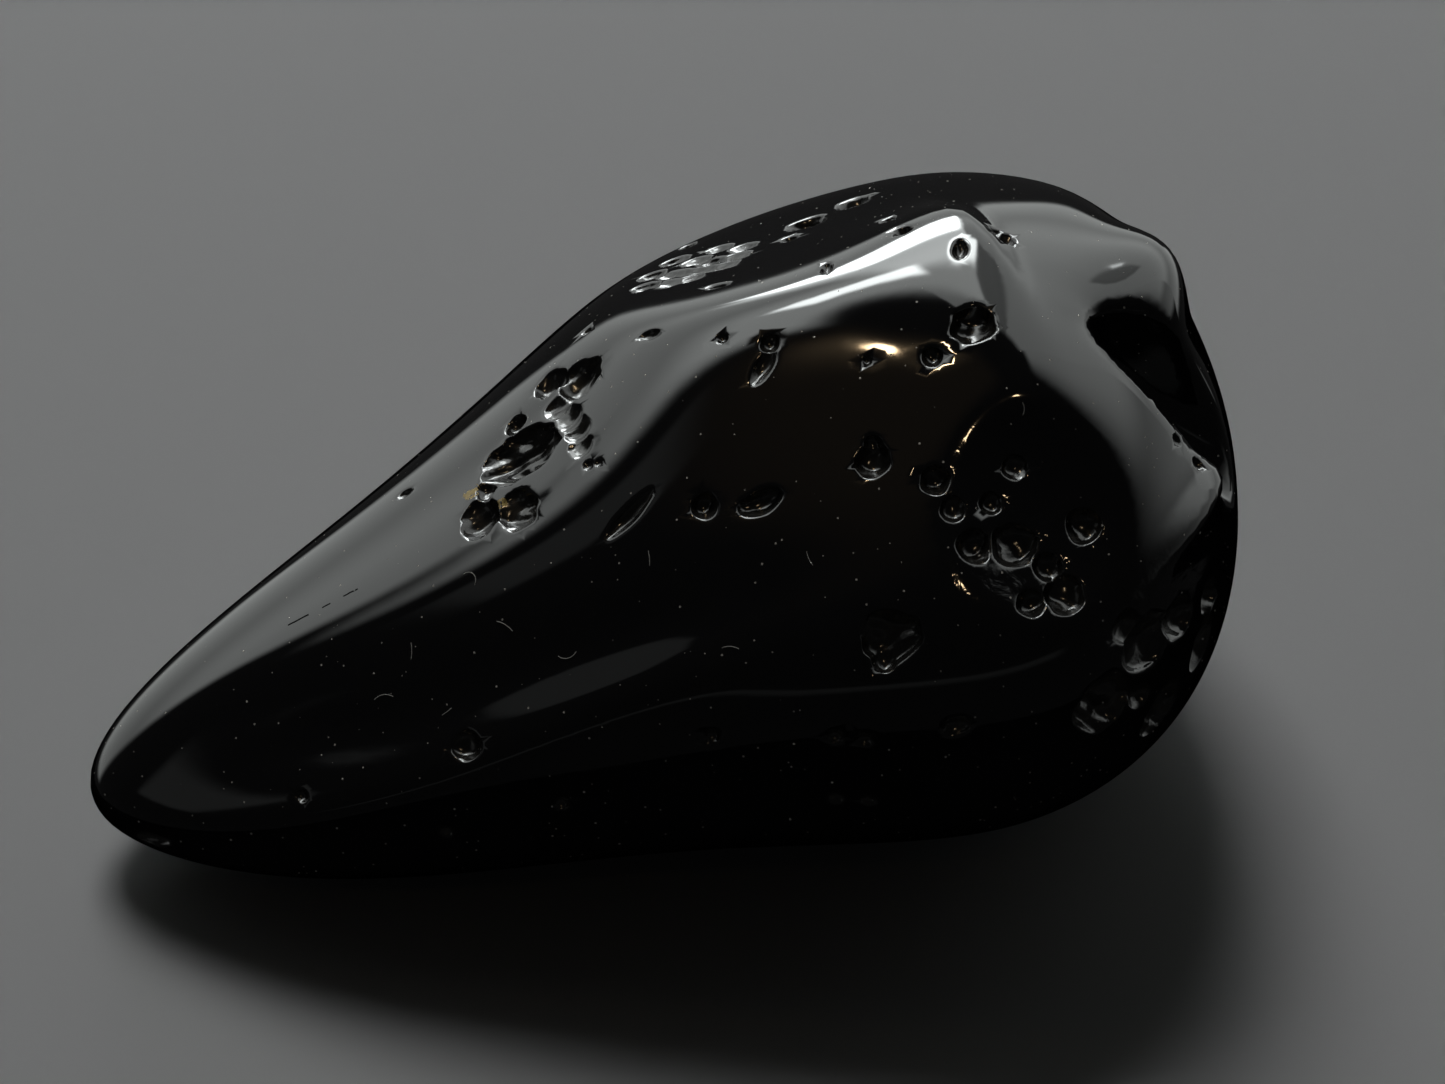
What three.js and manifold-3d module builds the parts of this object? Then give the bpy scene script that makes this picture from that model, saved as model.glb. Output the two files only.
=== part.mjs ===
// Tumbled tektite: one solid of black natural glass, worn smooth, with the pits
// and shallow hollows that tektites carry. Millimetres; +X runs along the stone
// from its narrow tip to its thick end, +Z is up, and z = 0 is the resting face.

import * as THREE from 'three';
import { mergeVertices } from 'three/addons/utils/BufferGeometryUtils.js';
import Module from 'manifold-3d';

// ---- The smooth body: nine stations from the tip (-X) to the thick end (+X) ----

const HALF_LENGTH = 25.0;
const HALF_WIDTH = [8.3, 9.3, 10.2, 11.7, 13.8, 16.1, 18.7, 21.2, 23.8];
const HALF_HEIGHT = [6.7, 7.5, 8.2, 9.3, 11.3, 13.0, 14.6, 17.2, 19.8];
const SPINE_HEIGHT = [3.9, 5.4, 7.0, 9.2, 11.3, 12.6, 13.1, 13.3, 12.2];
const SPINE_SIDEWAYS = [-2.6, -2.5, -1.9, -1.0, 0.3, 0.6, 0.2, 1.0, 2.2];

// The underside rounds off just below z = 0, where the resting face is cut.
const REST_SINK = 0.3;
const REST_BLEND = 0.15;

// Swells (rise above 0) and grooves (rise below 0), each along a line.
const SWELLS = [
  { from: [-3.0, 2.0, 20.5], to: [11.0, -1.4, 25.5], radius: 4.6, rise: 1.0 }, // crest
  { from: [18.4, 0.2, 24.8], to: [21.9, -1.2, 22.6], radius: 3.7, rise: 1.7 }, // shoulder
  { from: [9.5, -7.2, 24.5], to: [15.5, -6.6, 23.8], radius: 4.4, rise: 0.8 }, // brow
  { from: [20.0, -8.5, 19.6], to: [20.6, -8.8, 18.0], radius: 3.4, rise: 0.7 }, // lower lobe
  { from: [-12.5, -8.9, 11.6], to: [4.2, -11.5, 20.0], radius: 2.0, rise: -0.8 }, // front groove
  { from: [-12.5, -10.6, 10.2], to: [4.2, -13.2, 18.6], radius: 1.5, rise: 0.5 }, // its lip
  { from: [-20.1, -6.2, 8.1], to: [-10.5, -9.2, 11.9], radius: 1.8, rise: -0.6 }, // tip groove
  { from: [-20.1, -7.9, 6.7], to: [-10.5, -10.9, 10.5], radius: 1.4, rise: 0.45 }, // its lip
  { from: [3.0, -0.5, 0.0], to: [15.0, -1.0, 0.0], radius: 6.0, rise: 0.8 }, // seat
];

// Broad worn facets: two behind the crest and two on the front cheek.
const FACETS = [
  { outward: [-0.24, 0.39, 0.89], distance: 20.95, blend: 0.35 },
  { outward: [-0.316, -0.524, 0.79], distance: 19.75, blend: 0.6 },
  { outward: [-0.48, -0.56, 0.675], distance: 18.35, blend: 0.3 },
  { outward: [0.08, 0.385, 0.92], distance: 25.9, blend: 0.3 },
];

// The crown is a swell that stops short at a ledge facing the thick end.
const CROWN = { from: [13.3, 4.6, 25.6], to: [13.6, -2.8, 25.8], radius: 4.2, rise: 0.75 };
const LEDGE_FACES = [1.0, 0.2, 0.0];
const LEDGE_EDGE = 0.24;

// Hollows: the dent between the two lobes of the thick end, the worn front slope,
// and the crisp-edged bowl in it.
const HOLLOWS = [
  {
    at: [22.05, -5.45, 20.0], outward: [0.55, -0.5, 0.66], along: [0.7, -0.15, -0.7],
    radii: [7.0, 1.8, 2.9], blend: 0.4,
  },
  {
    at: [12.1, -13.4, 25.9], outward: [0.25, -0.72, 0.65], along: [0.85, -0.3, -0.35],
    radii: [10.0, 5.7, 4.0], blend: 0.5,
  },
  {
    at: [12.75, -12.33, 21.9], outward: [0.06, -0.66, 0.75], along: [0.8, -0.47, -0.35],
    radii: [8.5, 5.0, 1.8], blend: 0.12,
  },
];

// ---- Pits of 0.5 mm radius and over ----

// Each pit: place along the stone, turn round it from the top towards the front
// (degrees), opening radius, depth, then for long pits a stretch and a slant (degrees).
const PIT_SPREAD = 1.15;
const PITS = [
  // two joined pits high on the narrow half, and the shallow channel below them
  [-3.1, -4, 1.1, 0.85],
  [-4.2, -12, 0.85, 0.65],
  [-4.1, -1, 0.68, 0.3],
  [-3.8, 5, 0.68, 0.3],
  [-3.5, 10, 0.65, 0.28],
  [-3.5, 15, 0.55, 0.25],
  // hollow with round pits below them
  [-5.8, 4, 1.35, 0.95, 1.5, -8],
  [-5.8, -8, 0.55, 0.5],
  [-7.3, 7, 0.5, 0.5],
  [-7.7, 15, 0.95, 0.65],
  [-6.2, 20, 0.95, 0.5],
  // hammered patch behind the crest
  [0.4, -32, 0.5, 0.25, 1.4, -30],
  [0.9, -40, 0.55, 0.3, 1.3, -30],
  [1.3, -27, 0.5, 0.22, 1.5, -35],
  [1.7, -34, 0.5, 0.25, 1.6, -30],
  [2.1, -46, 0.55, 0.3, 1.3, -30],
  [2.2, -25, 0.5, 0.25, 1.4, -35],
  [2.6, -30, 0.5, 0.22, 1.8, -30],
  [2.8, -39, 0.5, 0.25, 1.5, -30],
  [3.3, -34, 0.5, 0.3, 1.4, -35],
  [3.6, -26, 0.5, 0.22, 1.6, -30],
  [4.0, -43, 0.5, 0.25, 1.3, -30],
  [4.3, -31, 0.5, 0.25, 1.5, -35],
  [4.8, -37, 0.5, 0.22, 1.4, -30],
  // pits on the back slope
  [7.7, -40, 0.9, 0.7],
  [9.9, -44, 0.8, 0.6],
  // pits on the crown
  [11.7, 23, 0.88, 0.8],
  // pits on the front cheek
  [7.2, 43, 0.68, 0.6],
  [2.9, 45, 0.5, 0.5, 1.8, 15],
  [0.8, 42, 0.52, 0.45],
  [7.0, 70, 1.15, 0.6],
  [6.7, 73, 0.5, 0.5],
  [7.7, 69, 0.5, 0.45],
  // pits low on the front
  [-9.2, 70, 0.65, 0.45],
  // pits in the bowl
  [9.4, 48, 0.6, 0.5],
  [9.9, 53, 0.5, 0.4],
  [10.5, 59, 0.7, 0.55],
  [12.1, 60, 0.9, 0.6],
  [12.4, 68, 0.6, 0.5],
  [13.8, 68, 0.8, 0.6],
  [14.9, 59, 0.7, 0.5],
  [13.3, 64, 0.6, 0.5],
  [12.5, 48, 0.5, 0.3],
  // cavity low on the thick end
  [15.3, 86, 1.25, 0.7, 1.2, 30],
  [17.2, 79, 1.1, 0.6, 1.3, 30],
  [18.9, 78, 0.9, 0.6],
  [20.7, 79, 0.8, 0.6],
  [18.4, 95, 1.1, 0.55, 1.3, 60],
  [20.4, 88, 0.9, 0.7, 1.4, 60],
  [16.3, 75, 0.7, 0.45],
  [17.0, 88, 0.6, 0.4],
  // the back and the underside, finished in the same way
  [14.0, -89, 1.1, 0.75],
  [15.5, -82, 0.6, 0.5],
  [4.7, -91, 0.9, 0.65, 1.5, -15],
  [-3.6, -84, 0.7, 0.5],
  [-10.5, -89, 0.5, 0.4],
  [20.8, -72, 0.75, 0.55],
  [22.8, -120, 0.6, 0.45],
  [9.0, -121, 0.8, 0.55],
  [18.3, 137, 0.7, 0.5],
];

// ---- Placing and mesh density (edge lengths in mm) ----

// Middle of the finished stone's box, moved to x = y = 0 at the end.
const BOX_MIDDLE = [0.05, 0.38];

const EDGE_PLAIN = 2.2;
const EDGE_HOLLOW = 1.1;
const EDGE_FINEST = 0.5;
const EDGE_PER_RADIUS = 0.7;
const PIT_RIM = 0.25;
const REFINE_ROUNDS = 6;

// Rays start on the spine, this share of the way out to the ends, and are
// searched inwards from CAST_FROM ray lengths.
const SPINE_REACH = 0.75;
const CAST_FROM = 1.3;
const CAST_STEP = 0.02;
const CAST_HALVINGS = 24;

const add = (a, b, s = 1) => [a[0] + s * b[0], a[1] + s * b[1], a[2] + s * b[2]];
const sub = (a, b) => add(a, b, -1);
const dot = (a, b) => a[0] * b[0] + a[1] * b[1] + a[2] * b[2];
const cross = (a, b) => [
  a[1] * b[2] - a[2] * b[1],
  a[2] * b[0] - a[0] * b[2],
  a[0] * b[1] - a[1] * b[0],
];
const unit = (a) => add([0, 0, 0], a, 1 / Math.hypot(...a));

// Smooth maximum: cuts one shape by another and rounds the edge over `blend`.
function smoothMax(a, b, blend) {
  const high = Math.max(a, b);
  return high + blend * Math.log1p(Math.exp(-Math.abs(a - b) / blend));
}

// Uniform cubic B-spline through the stations, at u in [-1, 1].
function station(values, u) {
  const last = values.length - 1;
  const at = (i) => {
    if (i < 0) return 2 * values[0] - values[1];
    if (i > last) return 2 * values[last] - values[last - 1];
    return values[i];
  };
  const t = (Math.min(Math.max(u, -1.12), 1.12) + 1) / 2 * last;
  const i = Math.min(Math.max(Math.floor(t), 0), last - 1);
  const f = t - i;
  return at(i - 1) * (1 - f) ** 3 / 6
    + at(i) * (3 * f ** 3 - 6 * f * f + 4) / 6
    + at(i + 1) * (-3 * f ** 3 + 3 * f * f + 3 * f + 1) / 6
    + at(i + 2) * f ** 3 / 6;
}

// Near-surface distance to an ellipsoid-like form with radii r at offset d.
function roundDistance(d, r) {
  const near = Math.hypot(d[0] / r[0], d[1] / r[1], d[2] / r[2]);
  const slope = Math.hypot(d[0] / r[0] ** 2, d[1] / r[1] ** 2, d[2] / r[2] ** 2);
  return near * (near - 1) / (slope + 1e-9);
}

function loftDistance(p) {
  const u = p[0] / HALF_LENGTH;
  const offset = [p[0], p[1] - station(SPINE_SIDEWAYS, u), p[2] - station(SPINE_HEIGHT, u)];
  return roundDistance(offset, [HALF_LENGTH, station(HALF_WIDTH, u), station(HALF_HEIGHT, u)]);
}

function swellRise(p, swell) {
  const middle = add([0, 0, 0], add(swell.from, swell.to), 0.5);
  const line = sub(swell.to, swell.from);
  const half = Math.hypot(...line) / 2;
  const offset = sub(p, middle);
  const along = dot(offset, line) / (2 * half);
  const across = dot(offset, offset) - along * along;
  return swell.rise * Math.exp(-((along / half) ** 2) - across / swell.radius ** 2);
}

function crownRise(p) {
  const middle = add([0, 0, 0], add(CROWN.from, CROWN.to), 0.5);
  const beyond = dot(sub(p, middle), unit(LEDGE_FACES));
  return swellRise(p, CROWN) / (1 + Math.exp(beyond / LEDGE_EDGE));
}

// Three axes: along the surface, across it, and outward.
function axesFor(outward, along) {
  const n = unit(outward);
  const a = unit(add(along, n, -dot(along, n)));
  return [a, cross(n, a), n];
}

function hollowDistance(p, hollow) {
  const d = sub(p, hollow.at);
  return roundDistance(hollow.axes.map((axis) => dot(d, axis)), hollow.radii);
}

const facets = FACETS.map((f) => ({ ...f, outward: unit(f.outward) }));
const hollows = HOLLOWS.map((h) => ({ ...h, axes: axesFor(h.outward, h.along) }));

function bodyDistance(p) {
  let f = loftDistance(p);
  for (const swell of SWELLS) f -= swellRise(p, swell);
  for (const facet of facets) {
    f = smoothMax(f, dot(p, facet.outward) - facet.distance, facet.blend);
  }
  f -= crownRise(p);
  for (const hollow of hollows) f = smoothMax(f, -hollowDistance(p, hollow), hollow.blend);
  return smoothMax(f, -p[2] - REST_SINK, REST_BLEND);
}

function gradient(field, p) {
  const e = 0.02;
  return [0, 1, 2].map((k) => {
    const d = [0, 0, 0];
    d[k] = e;
    return (field(add(p, d)) - field(sub(p, d))) / (2 * e);
  });
}

// Where a ray from inside the stone leaves the field's surface.
function castOut(field, from, ray) {
  const value = (t) => field(add(from, ray, t));
  let outside = CAST_FROM;
  while (value(outside - CAST_STEP) > 0 && outside > CAST_STEP) outside -= CAST_STEP;
  let inside = outside - CAST_STEP;
  for (let i = 0; i < CAST_HALVINGS; i += 1) {
    const middle = (outside + inside) / 2;
    if (value(middle) > 0) outside = middle;
    else inside = middle;
  }
  return add(from, ray, inside);
}

const spine = (u) => [u * HALF_LENGTH, station(SPINE_SIDEWAYS, u), station(SPINE_HEIGHT, u)];

// Each pit with its foot and axes on the smooth body.
const RADIANS = Math.PI / 180;
const PIT_RAY = 16;
const pits = PITS.map(([x, turn, radius, depth, stretch = 1, slant = 0]) => {
  const angle = turn * RADIANS;
  const ray = [0, -Math.sin(angle) * PIT_RAY, Math.cos(angle) * PIT_RAY];
  const foot = castOut(bodyDistance, spine(x / HALF_LENGTH), ray);
  const outward = unit(gradient(bodyDistance, foot));
  const [level, across] = axesFor(outward, [1, 0, 0]);
  const lean = slant * RADIANS;
  const along = add(add([0, 0, 0], level, Math.cos(lean)), across, Math.sin(lean));
  return { foot, radius, depth, stretch, axes: axesFor(outward, along) };
});

// How far a pit lowers the surface at p: a round-bottomed bowl with a soft rim.
// PIT_THROUGH keeps it from reaching the far side of the stone.
const PIT_THROUGH = 2.5;
function pitDrop(p, pit) {
  const d = sub(p, pit.foot);
  const [a, c, n] = pit.axes.map((axis) => dot(d, axis));
  if (Math.abs(n) > PIT_THROUGH) return 0;
  const q = Math.hypot(a / pit.stretch, c) / (pit.radius * PIT_SPREAD);
  return q < 1 ? pit.depth * (1 - q * q) ** 1.5 : 0;
}

function stoneDistance(p) {
  let drop = 0;
  for (const pit of pits) drop = Math.max(drop, pitDrop(p, pit));
  return bodyDistance(p) + drop;
}

// ---- The mesh: a refined sphere whose vertices are cast onto the stone ----

function castOntoStone(s) {
  const from = spine(s[0] * SPINE_REACH);
  const to = add(spine(s[0]), [
    0,
    s[1] * station(HALF_WIDTH, s[0]),
    s[2] * station(HALF_HEIGHT, s[0]),
  ]);
  return castOut(stoneDistance, from, sub(to, from));
}

function wantedEdge(p) {
  let edge = EDGE_PLAIN;
  for (const hollow of hollows) {
    const d = sub(p, hollow.at);
    if (Math.hypot(...d) < hollow.radii[0]) edge = Math.min(edge, EDGE_HOLLOW);
  }
  for (const pit of pits) {
    const near = Math.hypot(...sub(p, pit.foot)) < pit.radius * pit.stretch + PIT_RIM;
    if (near) edge = Math.min(edge, Math.max(EDGE_FINEST, pit.radius * EDGE_PER_RADIUS));
  }
  return edge;
}

// Splits every edge that is longer than wanted; triangles stay joined.
function refine(mesh) {
  const mids = new Map();
  const midOf = (a, b) => {
    const key = a < b ? `${a},${b}` : `${b},${a}`;
    if (mids.has(key)) return mids.get(key);
    const [p, q] = [mesh.points[a], mesh.points[b]];
    const long = Math.hypot(...sub(p, q)) > wantedEdge(add(add([0, 0, 0], p, 0.5), q, 0.5));
    let index = -1;
    if (long) {
      const s = unit(add(mesh.sphere[a], mesh.sphere[b]));
      index = mesh.points.length;
      mesh.sphere.push(s);
      mesh.points.push(castOntoStone(s));
    }
    mids.set(key, index);
    return index;
  };
  const triangles = [];
  for (const t of mesh.triangles) {
    const m = [midOf(t[0], t[1]), midOf(t[1], t[2]), midOf(t[2], t[0])];
    const split = m.filter((i) => i >= 0).length;
    if (split === 0) triangles.push(t);
    if (split === 1) {
      const k = m.findIndex((i) => i >= 0);
      const [a, b, c] = [t[k], t[(k + 1) % 3], t[(k + 2) % 3]];
      triangles.push([a, m[k], c], [m[k], b, c]);
    }
    if (split === 2) {
      const k = m.findIndex((i) => i < 0);
      const [a, b, c] = [t[k], t[(k + 1) % 3], t[(k + 2) % 3]];
      const [bc, ca] = [m[(k + 1) % 3], m[(k + 2) % 3]];
      triangles.push([a, b, bc], [a, bc, ca], [ca, bc, c]);
    }
    if (split === 3) {
      triangles.push([t[0], m[0], m[2]], [m[0], t[1], m[1]], [m[2], m[1], t[2]], m);
    }
  }
  const grew = triangles.length > mesh.triangles.length;
  mesh.triangles = triangles;
  return grew;
}

function stoneMesh() {
  const ball = new THREE.IcosahedronGeometry(1, 6);
  ball.deleteAttribute('normal');
  ball.deleteAttribute('uv');
  const seed = mergeVertices(ball, 1e-4);
  const place = seed.getAttribute('position');
  const index = seed.getIndex();
  const mesh = { sphere: [], points: [], triangles: [] };
  for (let i = 0; i < place.count; i += 1) {
    const s = unit([place.getX(i), place.getY(i), place.getZ(i)]);
    mesh.sphere.push(s);
    mesh.points.push(castOntoStone(s));
  }
  for (let i = 0; i < index.count; i += 3) {
    mesh.triangles.push([index.getX(i), index.getX(i + 1), index.getX(i + 2)]);
  }
  let rounds = 0;
  while (rounds < REFINE_ROUNDS && refine(mesh)) rounds += 1;
  return mesh;
}

// ---- The flat resting face is cut with a slab ----

const wasm = await Module();
wasm.setup();

function solidFrom(points, triangles) {
  return new wasm.Manifold(new wasm.Mesh({
    numProp: 3,
    vertProperties: Float32Array.from(points.flat()),
    triVerts: Uint32Array.from(triangles.flat()),
  }));
}

function slabBelowRest() {
  const slab = new THREE.BoxGeometry(80, 80, 10);
  slab.translate(0, 0, -5);
  slab.deleteAttribute('normal');
  slab.deleteAttribute('uv');
  const box = mergeVertices(slab);
  return new wasm.Manifold(new wasm.Mesh({
    numProp: 3,
    vertProperties: Float32Array.from(box.getAttribute('position').array),
    triVerts: Uint32Array.from(box.getIndex().array),
  }));
}

const stone = stoneMesh();
const cut = solidFrom(stone.points, stone.triangles).subtract(slabBelowRest()).getMesh();

const geometry = new THREE.BufferGeometry();
geometry.setAttribute('position', new THREE.BufferAttribute(cut.vertProperties, 3));
geometry.setIndex(new THREE.BufferAttribute(cut.triVerts, 1));
geometry.translate(-BOX_MIDDLE[0], -BOX_MIDDLE[1], 0);
geometry.computeVertexNormals();

const glass = new THREE.MeshStandardMaterial({ color: 0x0d0d0e, roughness: 0.06, metalness: 0 });
const tektite = new THREE.Mesh(geometry, glass);
tektite.name = 'tektite';

const part = new THREE.Group();
part.name = 'tumbled_tektite';
part.add(tektite);

export default part;
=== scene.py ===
"""Tumbled tektite: the stone's finish, its pits in full detail, its dust, and a plain studio.

Shape values are in millimetres; bpy objects are in metres. The stone is a distance
field: a smooth lofted body with swells, worn facets, hollows and pits. Its surface is a
sphere mesh cast onto that field, finest at the rims of the pits. The body's values and
the pits of 0.5 mm radius and over are the part's own. The smaller pits and the small
lump below the crown are only here.
"""
import math

import bpy
import numpy as np
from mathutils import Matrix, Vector


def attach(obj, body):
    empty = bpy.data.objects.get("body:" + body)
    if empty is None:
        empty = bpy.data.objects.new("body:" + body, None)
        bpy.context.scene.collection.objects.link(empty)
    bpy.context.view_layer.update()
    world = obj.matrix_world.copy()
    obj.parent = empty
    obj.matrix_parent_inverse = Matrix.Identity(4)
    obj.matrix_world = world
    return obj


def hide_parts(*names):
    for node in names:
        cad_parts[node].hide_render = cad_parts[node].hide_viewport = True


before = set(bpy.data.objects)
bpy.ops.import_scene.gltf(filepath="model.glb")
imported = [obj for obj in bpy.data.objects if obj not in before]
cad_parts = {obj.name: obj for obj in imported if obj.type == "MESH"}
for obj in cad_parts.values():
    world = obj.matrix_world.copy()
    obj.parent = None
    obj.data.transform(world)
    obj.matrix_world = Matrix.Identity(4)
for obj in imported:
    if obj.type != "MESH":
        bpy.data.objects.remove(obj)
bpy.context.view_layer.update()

MM = 0.001

# ---- The smooth body: nine stations from the tip (-X) to the thick end (+X) ----

HALF_LENGTH = 25.0
HALF_WIDTH = [8.3, 9.3, 10.2, 11.7, 13.8, 16.1, 18.7, 21.2, 23.8]
HALF_HEIGHT = [6.7, 7.5, 8.2, 9.3, 11.3, 13.0, 14.6, 17.2, 19.8]
SPINE_HEIGHT = [3.9, 5.4, 7.0, 9.2, 11.3, 12.6, 13.1, 13.3, 12.2]
SPINE_SIDEWAYS = [-2.6, -2.5, -1.9, -1.0, 0.3, 0.6, 0.2, 1.0, 2.2]

# How far past the middle the stations are followed, in half lengths
STATIONS_REACH = 1.12

# The underside rounds off just below z = 0, and the mesh is made flat at z = 0
REST_SINK = 0.3
REST_BLEND = 0.15

# Middle of the stone's box seen from above, moved to x = y = 0 in the meshes
BOX_MIDDLE = (0.05, 0.38)

# Swells and grooves: from, to, radius, rise (a groove's rise is negative)
SWELLS = [
    ((-3.0, 2.0, 20.5), (11.0, -1.4, 25.5), 4.6, 1.0),        # crest
    ((18.4, 0.2, 24.8), (21.9, -1.2, 22.6), 3.7, 1.7),        # shoulder
    ((9.5, -7.2, 24.5), (15.5, -6.6, 23.8), 4.4, 0.8),        # brow
    ((20.0, -8.5, 19.6), (20.6, -8.8, 18.0), 3.4, 0.7),       # lower lobe
    ((-12.5, -8.9, 11.6), (4.2, -11.5, 20.0), 2.0, -0.8),     # front groove
    ((-12.5, -10.6, 10.2), (4.2, -13.2, 18.6), 1.5, 0.5),     # its lip
    ((-20.1, -6.2, 8.1), (-10.5, -9.2, 11.9), 1.8, -0.6),     # tip groove
    ((-20.1, -7.9, 6.7), (-10.5, -10.9, 10.5), 1.4, 0.45),    # its lip
    ((3.0, -0.5, 0.0), (15.0, -1.0, 0.0), 6.0, 0.8),          # seat
    ((7.6, -5.2, 24.4), (9.2, -5.0, 24.9), 1.2, 0.03),        # small lump below the crown
]

# Worn facets: outward direction, distance from the origin, edge rounding
FACETS = [
    ((-0.24, 0.39, 0.89), 20.95, 0.35),
    ((-0.316, -0.524, 0.79), 19.75, 0.6),
    ((-0.48, -0.56, 0.675), 18.35, 0.3),
    ((0.08, 0.385, 0.92), 25.9, 0.3),
]

# The crown is a swell that stops short at a ledge facing the thick end
CROWN = ((13.3, 4.6, 25.6), (13.6, -2.8, 25.8), 4.2, 0.75)
LEDGE_FACES = (1.0, 0.2, 0.0)
LEDGE_EDGE = 0.24

# Hollows: centre, outward direction, long direction, radii, edge rounding
HOLLOWS = [
    ((22.05, -5.45, 20.0), (0.55, -0.5, 0.66), (0.7, -0.15, -0.7), (7.0, 1.8, 2.9), 0.4),
    ((12.1, -13.4, 25.9), (0.25, -0.72, 0.65), (0.85, -0.3, -0.35), (10.0, 5.7, 4.0), 0.5),
    ((12.75, -12.33, 21.9), (0.06, -0.66, 0.75), (0.8, -0.47, -0.35), (8.5, 5.0, 1.8), 0.12),
]

# Each pit is cut by an ellipsoid whose centre stands off the skin, in shares of its
# depth, and whose edge is rounded, in mm
PIT_STANDOFF = 0.3
PIT_ROUNDING = 0.05

# The pits' walls waver, in shares of their radius, with waves of these lengths (mm)
# in x, y and z. The wave in x is bent by y, and the wave in y by z: how far, how often
# and from where. The wave in y leans along z too.
PIT_WOBBLE = 0.08
PIT_WOBBLE_PITCH = (2.2, 1.7, 2.6)
WOBBLE_BEND_X = (1.7, 0.8, 0.0)
WOBBLE_BEND_Y = (1.9, 0.7, 1.0)
WOBBLE_LEAN = 0.6

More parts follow.
